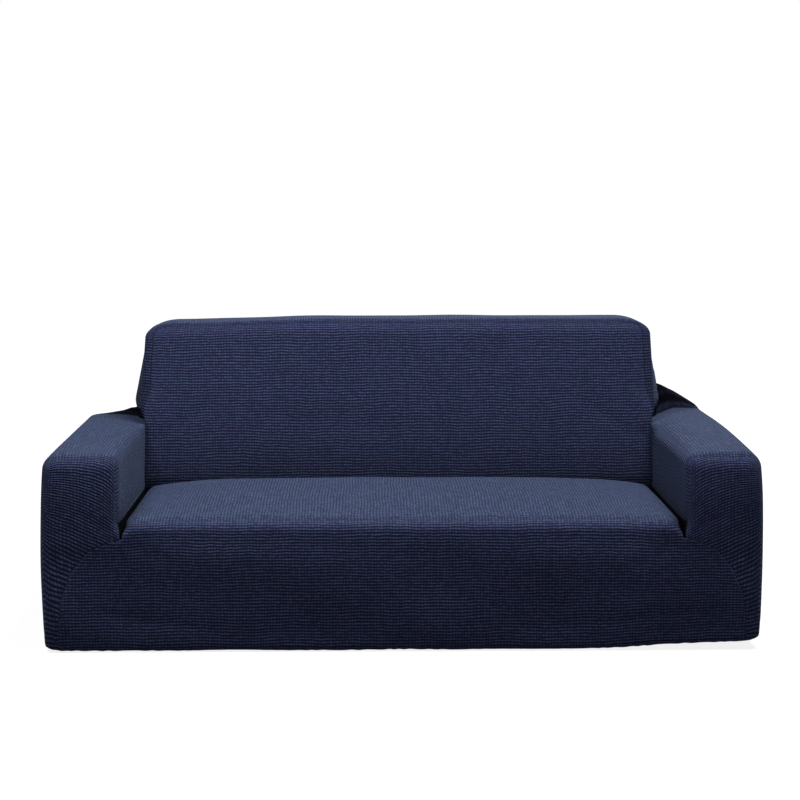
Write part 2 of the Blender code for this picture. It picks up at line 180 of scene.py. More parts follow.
def seat_rise(px, py, pz):
    """Height that a place of the layout gains on the seat and loses in its tucks.

    The crown falls with a power of the distance from the middle and grows from the front backwards.
    The tucks drop by the share of a place near their floor, also growing backwards.
    """
    side = np.abs(px)
    on_seat = (side < SEAT_SIDE + SAME) & (py < SEAT_REAR + SAME) & (pz <= SEAT_FRONT_TOP + SAME)
    share = smooth((pz - NOTCH_FLOOR) / (SEAT_FRONT_TOP - NOTCH_FLOOR))
    crown = SEAT_CROWN * (1.0 - (side / SEAT_SIDE) ** CROWN_POWER) * growth(py, CROWN_RUN)
    within = (side < ARM_INNER + SAME) & (py < BACK_FACE + SAME) & (pz >= NOTCH_FLOOR - SAME)
    in_tuck = within & ((side > SEAT_SIDE - SAME) | (py > SEAT_REAR - SAME))
    low_end = (1.0 - growth(pz, NOTCH_EDGE_UP)) * growth(py, TUCK_RUN)
    return np.where(on_seat, share * crown, 0.0) - np.where(in_tuck, TUCK_DROP * low_end, 0.0)


# The back's lean, its spread and flare at the ends, its fall to the left, and its two webs.
BACK_SLOPE = 0.274
BACK_FOOT = 0.347
LEAN_POWER = 4
BACK_SPREAD = 0.006
BACK_WIDENING = 0.012
SPREAD_POWER = 4
SPREAD_UP = (ARM_TOP, 0.06)
FLARE = 0.045
FLARE_POWER = 6
FLARE_RUN = (0.22, 0.18)
BACK_FALL_LEFT = 0.010
FALL_RUN = (-0.15, 0.5)
WEB_LEFT = 0.026
WEB_RIGHT = 0.095
WEB_UP = (ARM_TOP - 0.09, 0.09)
WEB_FADE_UP = (ARM_TOP, 0.25)
WEB_RUN = (REAR - 0.034, 0.022)


def back_lean(py, z):
    """How far a place leans back: the slope times its height over the back's foot.

    The lean fades with a power of the depth ahead of the back, and evenly behind it.
    """
    ahead = np.clip((py - FRONT) / SEAT_DEPTH, 0.0, 1.0) ** LEAN_POWER
    behind = (REAR - py) / (REAR - BACK_FACE)
    return BACK_SLOPE * np.maximum(z - BACK_FOOT, 0.0) * np.where(py < BACK_FACE, ahead, behind)


def back_pull(px, py, pz):
    """How far the back is pulled outwards and upwards.

    It widens down to the arms, its ends flare towards the rear and its top falls to the left. The
    rear piece draws a web of cloth up between each arm's rear corner and the back, and where the
    web lifts the cloth the flare is as narrow as it is higher up.
    """
    side = np.abs(px)
    up = np.clip((BACK_TOP - pz) / (BACK_TOP - ARM_TOP), 0.0, 1.0)
    spread = (BACK_SPREAD + BACK_WIDENING * up) * growth(pz, SPREAD_UP)
    spread = spread * (side / ARM_INNER) ** SPREAD_POWER * (side < ARM_INNER + SAME)
    within = (side / ARM_INNER) ** FLARE_POWER
    out = np.where(side <= ARM_INNER, within, (HALF - side) / (HALF - ARM_INNER))
    web = np.where(px > 0.0, WEB_RIGHT, WEB_LEFT) * out * growth(py, WEB_RUN)
    web = web * growth(pz, WEB_UP) * (1.0 - growth(pz, WEB_FADE_UP))
    narrowed = np.clip(up - web / (BACK_TOP - ARM_TOP), 0.0, 1.0) * (pz >= ARM_TOP - SAME)
    flare = FLARE * out * narrowed * growth(py, FLARE_RUN)
    return spread + flare, web - BACK_FALL_LEFT * shrink(px, FALL_RUN) * (1.0 - up)


# The outer sides swell a little: how far, the middle and reach of it upwards, and where it starts.
SIDE_BULGE = 0.012
SWELL_UP = (0.24, 0.25)
SWELL_OUT = (0.80, 0.10)

# Each arm is crowned along its length and drawn up, and the left one outwards, towards its rear.
ARM_CROWN_LEFT = 0.006
ARM_CROWN_RIGHT = 0.012
ARM_CROWN_OUT = (ARM_INNER - 0.02, 0.10)
ARM_RISE_LEFT = 0.006
ARM_RISE_RIGHT = 0.020
ARM_SPREAD_LEFT = 0.009


def side_swell(px, pz):
    """How far the outer sides stand out: a parabola over the arms' height."""
    middle, reach = SWELL_UP
    swell = np.clip(1.0 - ((pz - middle) / reach) ** 2, 0.0, 1.0) * (pz <= ARM_TOP)
    return SIDE_BULGE * swell * growth(np.abs(px), SWELL_OUT)


def arm_pull(px, py, pz):
    """How far the arms are pulled outwards and upwards: half a sine and a slope along each."""
    side = np.abs(px)
    right = px > 0.0
    along = np.clip((py - FRONT) / DEPTH, 0.0, 1.0)
    crown = np.where(right, ARM_CROWN_RIGHT, ARM_CROWN_LEFT) * np.sin(np.pi * along)
    rise = np.where(right, ARM_RISE_RIGHT, ARM_RISE_LEFT) * along
    near_top = smooth((pz - NOTCH_FLOOR) / (ARM_TOP - NOTCH_FLOOR)) * (pz <= ARM_TOP + SAME)
    up = (crown + rise) * near_top * growth(side, ARM_CROWN_OUT) * (side > ARM_INNER - SAME)
    out = np.where(right, 0.0, ARM_SPREAD_LEFT) * along * near_top * growth(side, SWELL_OUT)
    return out, up


# The front rolls back, ever more steeply, towards the top of the seat and of each arm.
SEAT_ROLL = 0.018
SEAT_ROLL_UP = (0.19, SEAT_FRONT_TOP - 0.19)
SEAT_ROLL_IN = (SEAT_SIDE - 0.005, 0.12)
ARM_ROLL = 0.014
ARM_ROLL_UP = (0.36, ARM_TOP - 0.36)
ROLL_FADE = (FRONT + 0.12, 0.12)

# The apron's two soft waves: radians for each metre along X and Z, and where the first one starts.
APRON_WAVE = 0.003
LOW_WAVE = 13.0
LOW_WAVE_START = 0.6
LOW_WAVE_UP = (0.07, 0.06)
LONG_WAVE = 7.0
LONG_WAVE_LEAN = 18.0
LONG_WAVE_SHARE = 0.7
LONG_WAVE_FROM = (0.0, 0.05)
LONG_WAVE_TO = (NOTCH_FLOOR, 0.05)
FRONT_ONLY = (FRONT + 0.03, 0.03)


def front_roll(px, py, pz):
    """How far the front rolls back: by the square of the share of the height, on seat and arms."""
    side = np.abs(px)
    seat_roll = SEAT_ROLL * ramp(pz, SEAT_ROLL_UP) ** 2 * shrink(side, SEAT_ROLL_IN)
    arm_roll = ARM_ROLL * ramp(pz, ARM_ROLL_UP) ** 2 * (side > ARM_INNER - SAME)
    return (seat_roll + arm_roll) * shrink(py, ROLL_FADE)


def apron_wave(px, py, pz):
    """How far the apron waves forwards: a low sine in a bell of the height, and a leaning one."""
    middle, reach = LOW_WAVE_UP
    wave = np.sin(LOW_WAVE * px + LOW_WAVE_START) * np.exp(-((pz - middle) / reach) ** 2)
    long_wave = LONG_WAVE_SHARE * np.sin(LONG_WAVE * px + LONG_WAVE_LEAN * pz)
    wave = wave + long_wave * growth(pz, LONG_WAVE_FROM) * shrink(pz, LONG_WAVE_TO)
    return APRON_WAVE * wave * shrink(py, FRONT_ONLY) * (pz <= NOTCH_FLOOR + SAME)


# The elastic draws the front and the rear in towards the hem, which sags and lifts on the right.
HEM_DRAW = 0.004
DRAW_POWER = 8
DRAW_UP = (0.0, 0.13)
HEM_SAG = 0.004
HEM_LIFT_RIGHT = 0.020
LIFT_OUT = (0.36, 0.62)
LIFT_FADE_UP = (0.0, 0.20)
LIFT_RUN = (0.10, 0.45)
CENTRE_SHIFT = 0.0019


def hem_pull(px, py, pz):
    """How far the hem is pulled backwards and upwards, which fades out with the height over it."""
    draw = HEM_DRAW * (1.0 - ramp(pz, DRAW_UP)) ** 2 * (np.abs(py) / REAR) ** DRAW_POWER
    lift = HEM_LIFT_RIGHT * growth(px, LIFT_OUT) * (1.0 - growth(pz, LIFT_FADE_UP))
    sag = HEM_SAG * (1.0 - growth(pz, DRAW_UP))
    return -np.sign(py) * draw, lift * shrink(py, LIFT_RUN) - sag


def settle(points, plan):
    """Let the rounded layout hang as stretched cloth does: the sum of what pulls at each place."""
    x, y, z = np.moveaxis(points, -1, 0)
    place = np.moveaxis(plan, -1, 0)
    px, py, pz = place
    z = z + seat_rise(*place)
    y = y + back_lean(py, z)
    out = side_swell(px, pz)
    for pull in (back_pull, arm_pull):
        further_out, up = pull(*place)
        out = out + further_out
        z = z + up
    backwards, up = hem_pull(*place)
    y = y + front_roll(*place) - apron_wave(*place) + backwards + CENTRE_SHIFT
    return np.stack([x + np.sign(px) * out, y, z + up], axis=-1)


# The seam between an arm piece and the apron, on the front, from the hem up.
SEAM_ROWS = (
    # height, distance from the middle
    (0.000, 0.858),
    (0.066, 0.853),
    (0.130, 0.846),
    (0.200, 0.822),
    (0.250, 0.783),
    (0.272, 0.735),
    (0.279, 0.705),
)


def seam_distance(height):
    """How far from the middle the arm's seam runs at a height on the front, between the rows."""
    heights, distances = np.array(SEAM_ROWS).T
    return np.interp(height, heights, distances)


def seam_gap(plan):
    """Distance in the layout from each point to the nearest seam that shows."""
    x, y, z = np.moveaxis(plan, -1, 0)
    side = np.abs(x)
    on_front = (y < FRONT + SAME) & (z <= NOTCH_FLOOR + SAME)
    front = np.where(on_front, np.abs(side - seam_distance(z)), BEYOND)
    at_rear = np.where(
        z <= ARM_TOP + SAME,
        np.minimum(HALF - side, np.where(side >= ARM_INNER - SAME, ARM_TOP - z, BEYOND)),
        np.minimum(ARM_INNER - side, BACK_TOP - z),
    )
    rear = np.where(y > REAR - SAME, np.abs(at_rear), REAR - y)
    return np.minimum(front, rear)


# Where shade is painted: deep in the tucks, and over the lengths beside them where open cloth gets
# a softer painted shade.
TUCK_SHOWN = (FRONT + 0.001, 0.010)
TUCK_MOUTH = (SEAT_FRONT_TOP - 0.012, 0.018)
WEB_SHADE_RUN = (REAR - 0.045, 0.022)
WEB_SHADE_POWER = 0.3
END_SHADE = 0.80
END_SHADE_UP = 0.12
CREASE_SHADE = 0.50
CREASE_RISE = 0.020
CREASE_BACK = 0.085
CREASE_SEAT = 0.012
CREASE_ARM = 0.022


# Painted shade: how much the knit's colour is darkened in and near the tucks, where shade falls.
def painted_tuck_shade(plan):
    """1 deep in the tucks beside and behind the seat, less near their mouths and 0 on open cloth.

    The webs' tops and the back's ends above them take this painted shade as tucks do. Cloth that
    lies open gets a softer painted shade where it nears a tuck, by a falling exponential of the
    distance.
    """
    x, y, z = np.moveaxis(plan, -1, 0)
    side = np.abs(x)
    inside_arms = side < ARM_INNER + SAME
    before_back = y < BACK_FACE + SAME
    between = (side > SEAT_SIDE - SAME) & inside_arms & before_back
    behind = (y > SEAT_REAR - SAME) & before_back & inside_arms
    wall = growth(y, TUCK_SHOWN) * between + behind * (1.0 - between)
    wall = wall * (1.0 - ramp(z, TUCK_MOUTH)) * (z >= NOTCH_FLOOR - SAME)
    web = growth(y, WEB_SHADE_RUN) * (side > ARM_INNER) * (np.abs(z - ARM_TOP) < SAME)
    web = web * (np.maximum(HALF - side, 0.0) / (HALF - ARM_INNER)) ** WEB_SHADE_POWER
    at_end = (np.abs(side - ARM_INNER) < SAME) & (y > BACK_FACE) & (z > ARM_TOP - SAME)
    end = END_SHADE * at_end * np.exp(-np.maximum(z - ARM_TOP, 0.0) / END_SHADE_UP)

    over_seat = z - SEAT_FRONT_TOP
    to_back = np.where(over_seat > SAME, over_seat - CREASE_RISE, SEAT_REAR - y)
    to_arm = np.where(side > SEAT_SIDE, over_seat, SEAT_SIDE - side)
    on_back = (np.abs(y - BACK_FACE) < SAME) & inside_arms
    on_seat = (np.abs(over_seat) < SAME) & (side < SEAT_SIDE + SAME)
    on_arm = (np.abs(side - ARM_INNER) < SAME) & before_back & (z > NOTCH_FLOOR)
    near_back = np.exp(-np.maximum(to_back, 0.0) / np.where(on_seat, CREASE_SEAT, CREASE_BACK))
    near_arm = np.exp(-np.maximum(to_arm, 0.0) / CREASE_ARM) * growth(y, TUCK_SHOWN)
    behind_arm = np.exp(-(BACK_FACE - y) / CREASE_ARM)
    beside_back = np.exp(-(ARM_INNER - side) / CREASE_ARM)
    soft = np.maximum.reduce([
        near_back * (on_back | on_seat),
        near_arm * (on_arm | on_seat),
        behind_arm * on_arm,
        beside_back * on_back * (z < ARM_TOP + SAME),
    ])
    return np.maximum.reduce([wall, web, end, CREASE_SHADE * soft])


# The gathers above the hem: radians for each metre, and the slower waves that shift and mask them.
HEM_GATHER = 0.0007
HEM_GATHER_UP = 0.030
GATHER_WAVE = 150.0
GATHER_SHIFTS = (
    # radians, radians for each metre, start
    (2.2, 23.0, 0.0),
    (1.3, 61.0, 1.0),
)
GATHER_MASK = (0.55, 0.45, 9.0, 2.0)

# The soft unevenness of the whole cloth: one row for each wave.
UNEVEN = 0.0011
UNEVEN_WAVES = (
    # share, radians for each metre along X, Y and Z, start
    (0.5, (11.0, 7.0, 4.0), 0.0),
    (0.5, (17.0, 5.0, -13.0), 1.1),
    (0.3, (29.0, 9.0, 21.0), 2.0),
)

SEAM_DIP = 0.0005
SEAM_WIDTH = 0.004
FOLD_TIP = 0.02


def relief(plan):
    """How far the cloth stands out: gathers above the hem, a soft unevenness and dips at the seams.

    The gathers are a sine whose phase is shifted by slower sines, masked by another and fading with
    the height. The unevenness is a sum of sines, and a dip is a bell of the distance to a seam.
    """
    x, y, z = np.moveaxis(plan, -1, 0)
    along = np.where(np.abs(x) > HALF - SAME, y, x)
    phase = GATHER_WAVE * along
    for amount, pace, start in GATHER_SHIFTS:
        phase = phase + amount * np.sin(pace * along + start)
    least, swing, pace, start = GATHER_MASK
    gather = np.sin(phase) * (least + swing * np.sin(pace * along + start))
    gather = gather * np.exp(-z / HEM_GATHER_UP)
    broad = 0.0
    for share, pace, start in UNEVEN_WAVES:
        broad = broad + share * np.sin(plan @ np.array(pace) + start)
    dip = np.exp(-(seam_gap(plan) / SEAM_WIDTH) ** 2)
    return HEM_GATHER * gather + UNEVEN * broad - SEAM_DIP * dip


def fold(points, start, end, width, depth):
    """A soft trough between two places: depth times a bell of the distance from the line."""
    start = np.array(start)
    line = np.array(end) - start
    share = np.clip((points - start) @ line / (line @ line), 0.0, 1.0)
    off = np.linalg.norm(points - start - share[..., None] * line, axis=-1)
    ends = np.sqrt(np.sin(np.pi * np.clip(share, FOLD_TIP, 1.0 - FOLD_TIP)))
    return -depth * ends * np.exp(-(off / width) ** 2)


# The longest step between two stations of the layout.
STEP = 0.0062


def fine(stations):
    """The stations with even ones between them, no further apart than the step."""
    stations = np.asarray(stations, float)
    parts = [
        np.linspace(a, b, int(np.ceil(abs(b - a) / STEP - SAME)), endpoint=False)
        for a, b in zip(stations[:-1], stations[1:])
    ]
    return np.concatenate(parts + [stations[-1:]])


def down(values):
    """Values that change from row to row of a patch."""
    return np.asarray(values, float)[:, None]


def across(values):
    """Values that change from column to column of a patch."""
    return np.asarray(values, float)[None, :]


def both_sides(half):
    """Stations from -x to +x from those of one half, which start at 0."""
    half = np.asarray(half, float)
    return np.concatenate([-half[:0:-1], half])


def grid(x, y, z):
    """Points (rows, columns, 3) of a flat patch whose coordinates broadcast against each other."""
    return np.stack(np.broadcast_arrays(x, y, z), axis=-1).astype(float)


def patch(plan, outward, threads, rounding=round_outside):
    """One part of a piece: its layout, its places, its thread coordinates and its quads.

    The places are the layout rounded and settled. The quads join neighbours on the grid and turn
    the way in which the middle one faces outwards.
    """
    rows, columns = plan.shape[:2]
    number = np.arange(rows * columns).reshape(rows, columns)
    quads = [number[:-1, :-1], number[1:, :-1], number[1:, 1:], number[:-1, 1:]]
    quads = np.stack(quads, axis=-1)
    r, c = (rows - 1) // 2, (columns - 1) // 2
    faces = np.cross(plan[r + 1, c] - plan[r, c], plan[r, c + 1] - plan[r, c])
    quads = quads[..., ::-1] if np.dot(faces, outward) < 0.0 else quads
    places = settle(rounding(plan), plan)
    uv = np.stack(np.broadcast_arrays(*threads(plan)), axis=-1)
    return [part.reshape(-1, part.shape[-1]) for part in (plan, places, uv, quads)]


# Layouts that agree to a hundredth of a millimetre are joined.
JOINS_PER_METRE = 1e5
KNIT_THICKNESS = 0.002
LEVEL_FROM = 0.62
IN_TUCK = 0.6


def join(patches):
    """Patches as one: where layouts meet there is one point, at the mean of its places."""
    starts = np.cumsum([0] + [len(part[0]) for part in patches[:-1]])
    plan, places, uv = (np.concatenate([part[k] for part in patches]) for k in range(3))
    quads = np.concatenate([part[3] + start for part, start in zip(patches, starts)])
    keys = np.round(plan * JOINS_PER_METRE).astype(np.int64)
    _, first, joined = np.unique(keys, axis=0, return_index=True, return_inverse=True)
    joined = joined.reshape(-1)
    count = np.bincount(joined)[:, None]
    points = np.stack([np.bincount(joined, places[:, k]) for k in range(3)], axis=-1) / count
    return plan[first], points, uv, quads, joined


def point_normals(points, corners):
    """Unit normals: the sum of the cross products of the diagonals of each point's quads."""
    a, b, c, d = (points[corners[:, k]] for k in range(4))
    areas = np.cross(c - a, d - b)
    normals = np.zeros_like(points)
    for k in range(4):
        for axis in range(3):
            normals[:, axis] += np.bincount(corners[:, k], areas[:, axis], len(points))
    return normals / np.maximum(np.linalg.norm(normals, axis=-1, keepdims=True), SAME ** 2)


def rim(corners):
    """The ends of a piece's open edges, which are those that one quad uses."""
    edges = [np.stack([corners[:, k], corners[:, k - 1]], axis=-1) for k in range(4)]
    edges = np.sort(np.concatenate(edges), axis=1)
    edges, uses = np.unique(edges, axis=0, return_counts=True)
    return edges[(uses == 1) & (edges[:, 0] != edges[:, 1])]


def sew(name, patches, folds):
    """Join a piece's patches, raise its relief and folds, and thicken it inwards."""
    plan, points, uv, quads, joined = join(patches)
    corners = joined[quads]
    normals = point_normals(points, corners)
    raised = relief(plan) + sum(fold(points, *row) for row in folds)
    # The rim stays where the layout has it, so that the pieces meet without a gap.
    raised[rim(corners)] = 0.0
    points = points + normals * raised[:, None]

    # A quad with two corners in one place is a triangle, and one with fewer corners is left out.
    repeated = corners == np.roll(corners, -1, axis=1)
    whole = quads[repeated.sum(axis=1) == 0]
    narrow = repeated.sum(axis=1) == 1
    three = quads[narrow][~repeated[narrow]].reshape(-1, 3)

    mesh = bpy.data.meshes.new(name)
    mesh.from_pydata(points, [], joined[whole].tolist() + joined[three].tolist())
    # The painted shade of the tucks, and the faces deep in it, which take the shaded copy of the
    # knit without a sheen.
    in_tuck = painted_tuck_shade(plan)
    deep = [in_tuck[joined[faces]].min(axis=1) > IN_TUCK for faces in (whole, three)]
    mesh.polygons.foreach_set("material_index", np.concatenate(deep).astype(np.int32))
    layer = mesh.uv_layers.new(name="threads")
    used = np.concatenate([whole.reshape(-1), three.reshape(-1)])
    layer.data.foreach_set("uv", uv[used].reshape(-1))
    level = smooth((np.abs(normals[:, 2]) - LEVEL_FROM) / (1.0 - LEVEL_FROM))
    for key, values in (("seam", seam_gap(plan)), ("tuck", in_tuck), ("level", level)):
        attribute = mesh.attributes.new(key, "FLOAT", "POINT")
        attribute.data.foreach_set("value", values)
    mesh.shade_smooth()
    piece = bpy.data.objects.new(name, mesh)
    bpy.context.scene.collection.objects.link(piece)
    solid = piece.modifiers.new("thickness", "SOLIDIFY")
    solid.thickness = KNIT_THICKNESS
    solid.offset = -1.0
    return piece


def feed(tree, sockets, values):
    """Link or set sockets in turn: an output is linked, a number set and None skipped."""
    for socket, value in zip(sockets, values):
        if isinstance(value, bpy.types.NodeSocket):
            tree.links.new(value, socket)
        elif value is not None:
            socket.default_value = value


def add_node(tree, kind, *values, **settings):
    """A node with its settings, whose inputs take the values in turn."""
    node = tree.nodes.new(kind)
    for key, value in settings.items():
        setattr(node, key, value)
    feed(tree, node.inputs, values)
    return node


def calculate(tree, operation, *values):
    """The output of a Math node."""
    return add_node(tree, "ShaderNodeMath", *values, operation=operation).outputs[0]


def blend_colour(tree, amount, first, second, kind="MIX"):
    """The output of a colour Mix node: amount, then its two colours."""
    node = add_node(tree, "ShaderNodeMix", data_type="RGBA", blend_type=kind)
    feed(tree, (node.inputs[0], node.inputs[6], node.inputs[7]), (amount, first, second))
    return node.outputs[2]


# How the rows and columns wander: the scale of the noise, and its size in cells.
SLOW_WANDER = (7.0, 1.5)
QUICK_WANDER = (55.0, 0.42)

# A cell: how round and how deep it is between columns, how full, and what lies on top of it. Where
# the cloth lies level, the gaps between columns are deeper and those between rows are shallower.
COLUMN_ROUNDNESS = 0.7
COLUMN_GAP = 0.50
COLUMN_GAP_LEVEL = 0.12
ROW_GAP_LEVEL = -0.55
FULLNESS = (0.44, 0.60)
PLY_SLANT = (5.0, 3.0)
PLY_HEIGHT = 0.05
FIBRE_SCALE = 1400.0
FIBRE_HEIGHT = 0.10
SEAM_PRESSED = (0.0003, 0.0030)

# Its colour: heights of valley and ridge, tint, painted shade at seams and in tucks, painted sheen
# where the cloth lies level, and roughness.
TONE_HEIGHTS = (0.10, 0.95)
BLOTCH_SCALE = 22.0
BLOTCH_EDGES = (0.35, 0.65)
SEAM_SHADE = 0.20
TUCK_SHADE = 0.95
LEVEL_PAINTED_SHEEN = (0.06, 0.14, -0.02)
ROUGHNESS = (-0.10, 0.92)


def waffle_knit():
    """Node group of the knit: rows of rounded cells with dark valleys between the rows.

    A cell's height is the row's cosine times a share of the column's cosine, with plied yarn on it.
    The colour goes from the valley's, which is painted shade, to the ridge's with the height, and
    differs from cell to cell.
    """
    group = bpy.data.node_groups.new("waffle knit", "ShaderNodeTree")
    inputs = (
        ("Threads", "NodeSocketVector", None),
        ("Seam", "NodeSocketFloat", 1.0),
        ("Tuck", "NodeSocketFloat", 0.0),
        ("Level", "NodeSocketFloat", 0.0),
        ("Column", "NodeSocketFloat", 0.0078),
        ("Row", "NodeSocketFloat", 0.0078),
        ("Ridge", "NodeSocketColor", (0.05, 0.06, 0.14, 1.0)),
        ("Valley", "NodeSocketColor", (0.003, 0.004, 0.012, 1.0)),
        ("Warm", "NodeSocketColor", (1.0, 1.0, 1.0, 1.0)),
        ("Cool", "NodeSocketColor", (1.0, 1.0, 1.0, 1.0)),
    )
    outputs = (
        ("Color", "NodeSocketColor"),
        ("Roughness", "NodeSocketFloat"),
        ("Height", "NodeSocketFloat"),
    )
    for name, kind, value in inputs:
        socket = group.interface.new_socket(name, in_out="INPUT", socket_type=kind)
        if value is not None:
            socket.default_value = value
    for name, kind in outputs:
        group.interface.new_socket(name, in_out="OUTPUT", socket_type=kind)
    given = group.nodes.new("NodeGroupInput").outputs

    def math(operation, *values):
        return calculate(group, operation, *values)

    def noise(scale, detail):
        return add_node(group, "ShaderNodeTexNoise", given["Threads"], None, scale, detail).outputs

    def split(output):
        return add_node(group, "ShaderNodeSeparateColor", output).outputs

    def eased(value, edges):
        node = add_node(group, "ShaderNodeMapRange", value, *edges, 0.0, 1.0)
        node.interpolation_type = "SMOOTHSTEP"
        return node.outputs[0]

    # The rows and columns wander a little, as hand-pulled stretch cloth does.
    threads = add_node(group, "ShaderNodeSeparateXYZ", given["Threads"]).outputs
    drift = split(noise(SLOW_WANDER[0], 1.0)["Color"])
    shake = split(noise(QUICK_WANDER[0], 0.0)["Color"])
    places = []
    for axis, pitch in ((0, "Column"), (1, "Row")):
        counted = math("DIVIDE", threads[axis], given[pitch])
        slow = math("MULTIPLY", drift[axis], SLOW_WANDER[1])
        quick = math("MULTIPLY", shake[axis], QUICK_WANDER[1])
        places.append(math("ADD", math("ADD", counted, slow), quick))
    column, row = places

    # Each row is a hill, and its cells are parted by the gaps between the columns.
    turn = 2.0 * np.pi
    row_hill = math("MULTIPLY_ADD", math("COSINE", math("MULTIPLY", row, turn)), 0.5, 0.5)
    column_wave = math("COSINE", math("MULTIPLY", column, turn))
    column_hill = math("MULTIPLY_ADD", column_wave, 0.5, 0.5)
    column_dip = math("SUBTRACT", 1.0, math("POWER", column_hill, COLUMN_ROUNDNESS))
    column_gap = math("MULTIPLY_ADD", given["Level"], COLUMN_GAP_LEVEL, COLUMN_GAP)
    cell_width = math("SUBTRACT", 1.0, math("MULTIPLY", column_gap, column_dip))
    row_gap = math("MULTIPLY_ADD", given["Level"], ROW_GAP_LEVEL, 1.0)
    row_dip = math("MULTIPLY", math("SUBTRACT", 1.0, row_hill), row_gap)
    row_hill = math("SUBTRACT", 1.0, row_dip)
    cell_place = (math("ROUND", column), math("ROUND", row), 0.0)
    cell_at = add_node(group, "ShaderNodeCombineXYZ", *cell_place).outputs[0]
    cell = add_node(group, "ShaderNodeTexWhiteNoise", cell_at, noise_dimensions="2D")
    fullness = math("MULTIPLY_ADD", cell.outputs["Value"], *FULLNESS)
    hill = math("MULTIPLY", math("MULTIPLY", row_hill, cell_width), fullness)

    # The plies of the yarn lie aslant on each cell, and loose fibres roughen them.
    ply_across, ply_along = PLY_SLANT
    aslant = math("MULTIPLY", row, ply_along * turn)
    ply = math("SINE", math("MULTIPLY_ADD", column, ply_across * turn, aslant))
    fibre = noise(FIBRE_SCALE, 2.0)["Fac"]
    grain = math("MULTIPLY_ADD", ply, PLY_HEIGHT, math("MULTIPLY", fibre, FIBRE_HEIGHT))
    raised = math("ADD", hill, math("MULTIPLY", grain, row_hill))

    # Beside a seam the cloth is drawn down and its cells are pressed together.
    off_seam = eased(given["Seam"], SEAM_PRESSED)
    height = math("MULTIPLY", raised, off_seam)

    # Yarn goes from the valley's painted shade to the ridge's colour by its height and is tinted in
    # blotches.
    # Where the cloth lies level a painted sheen makes it lighter and less blue.
    tone = eased(raised, TONE_HEIGHTS)
    yarn = blend_colour(group, tone, given["Valley"], given["Ridge"])
    blotch = noise(BLOTCH_SCALE, 2.0)["Fac"]
    blotch = add_node(group, "ShaderNodeMapRange", blotch, *BLOTCH_EDGES, 0.0, 1.0).outputs[0]
    tint = blend_colour(group, blotch, given["Warm"], given["Cool"])
    # Painted sheen: level cloth is made lighter and less blue.
    lifted = [math("MULTIPLY_ADD", given["Level"], share, 1.0) for share in LEVEL_PAINTED_SHEEN]
    lift = add_node(group, "ShaderNodeCombineColor", *lifted).outputs[0]
    # Painted shade: a little darker along the seams, where the cloth dips.
    shade = math("MULTIPLY_ADD", off_seam, SEAM_SHADE, 1.0 - SEAM_SHADE)
    # Painted shade: much darker deep in the tucks and softer beside them.
    shade = math("MULTIPLY", shade, math("MULTIPLY_ADD", given["Tuck"], -TUCK_SHADE, 1.0))
    dark = add_node(group, "ShaderNodeCombineColor", shade, shade, shade).outputs[0]
    for factor in (tint, lift, dark):
        yarn = blend_colour(group, 1.0, yarn, factor, "MULTIPLY")

    out = group.nodes.new("NodeGroupOutput").inputs
    group.links.new(yarn, out["Color"])
    group.links.new(math("MULTIPLY_ADD", tone, *ROUGHNESS), out["Roughness"])
    group.links.new(height, out["Height"])
    return group


KNIT = waffle_knit()
CELL_RELIEF = 0.00095
# The valley's colour is far darker than the ridge's: painted shade in the knit's hollows.
NAVY_RIDGE = (0.048, 0.060, 0.131, 1.0)
NAVY_VALLEY = (0.0092, 0.0106, 0.0300, 1.0)
WARM_TINT = (1.045, 0.98, 1.02, 1.0)
COOL_TINT = (0.95, 1.03, 0.99, 1.0)
SPECULAR = 0.06
SHEEN = 0.11
SHEEN_ROUGHNESS = 0.45
SHEEN_BLUE = (0.50, 0.66, 1.0, 1.0)


def knit_material(name, column, row, cell_relief, sheen):
    """A piece's own knit: the shared group with this piece's pitches, a bump and a fuzzy sheen."""
    material = bpy.data.materials.new(name)
    material.use_nodes = True
    tree = material.node_tree
    knit = add_node(tree, "ShaderNodeGroup", node_tree=KNIT)
    threads = add_node(tree, "ShaderNodeUVMap", uv_map="threads")
    tree.links.new(threads.outputs["UV"], knit.inputs["Threads"])
    for key in ("seam", "tuck", "level"):
        shown = add_node(tree, "ShaderNodeAttribute", attribute_name=key)
        tree.links.new(shown.outputs["Fac"], knit.inputs[key.capitalize()])
    knit.inputs["Column"].default_value = column
    knit.inputs["Row"].default_value = row
    knit.inputs["Ridge"].default_value = NAVY_RIDGE
    knit.inputs["Valley"].default_value = NAVY_VALLEY
    knit.inputs["Warm"].default_value = WARM_TINT
    knit.inputs["Cool"].default_value = COOL_TINT
    bump = add_node(tree, "ShaderNodeBump")
    bump.inputs["Distance"].default_value = cell_relief
    bump.inputs["Strength"].default_value = 1.0
    tree.links.new(knit.outputs["Height"], bump.inputs["Height"])
    shader = tree.nodes["Principled BSDF"]
    tree.links.new(knit.outputs["Color"], shader.inputs["Base Color"])
    tree.links.new(knit.outputs["Roughness"], shader.inputs["Roughness"])
    tree.links.new(bump.outputs["Normal"], shader.inputs["Normal"])
    shader.inputs["Specular IOR Level"].default_value = SPECULAR
    shader.inputs["Sheen Weight"].default_value = sheen
    shader.inputs["Sheen Roughness"].default_value = SHEEN_ROUGHNESS
    shader.inputs["Sheen Tint"].default_value = SHEEN_BLUE
    return material


def dress(piece, name, column, row, cell_relief=CELL_RELIEF):
    """Give a piece its knit, and deep in the tucks a shaded copy of the same knit without a sheen,
    so that the painted shade there stays dark.
    """
    for end, sheen in (("", SHEEN), ("_shaded_in_tuck", 0.0)):
        piece.data.materials.append(knit_material(name + end, column, row, cell_relief, sheen))


# The cloth round an edge is shorter than its two straight runs, so thread coordinates skip this.
SEAT_EDGE_SAVED = 0.014


def front_threads(plan):
    """Columns count from the middle and rows from the hem up."""
    return plan[..., 0], plan[..., 2]


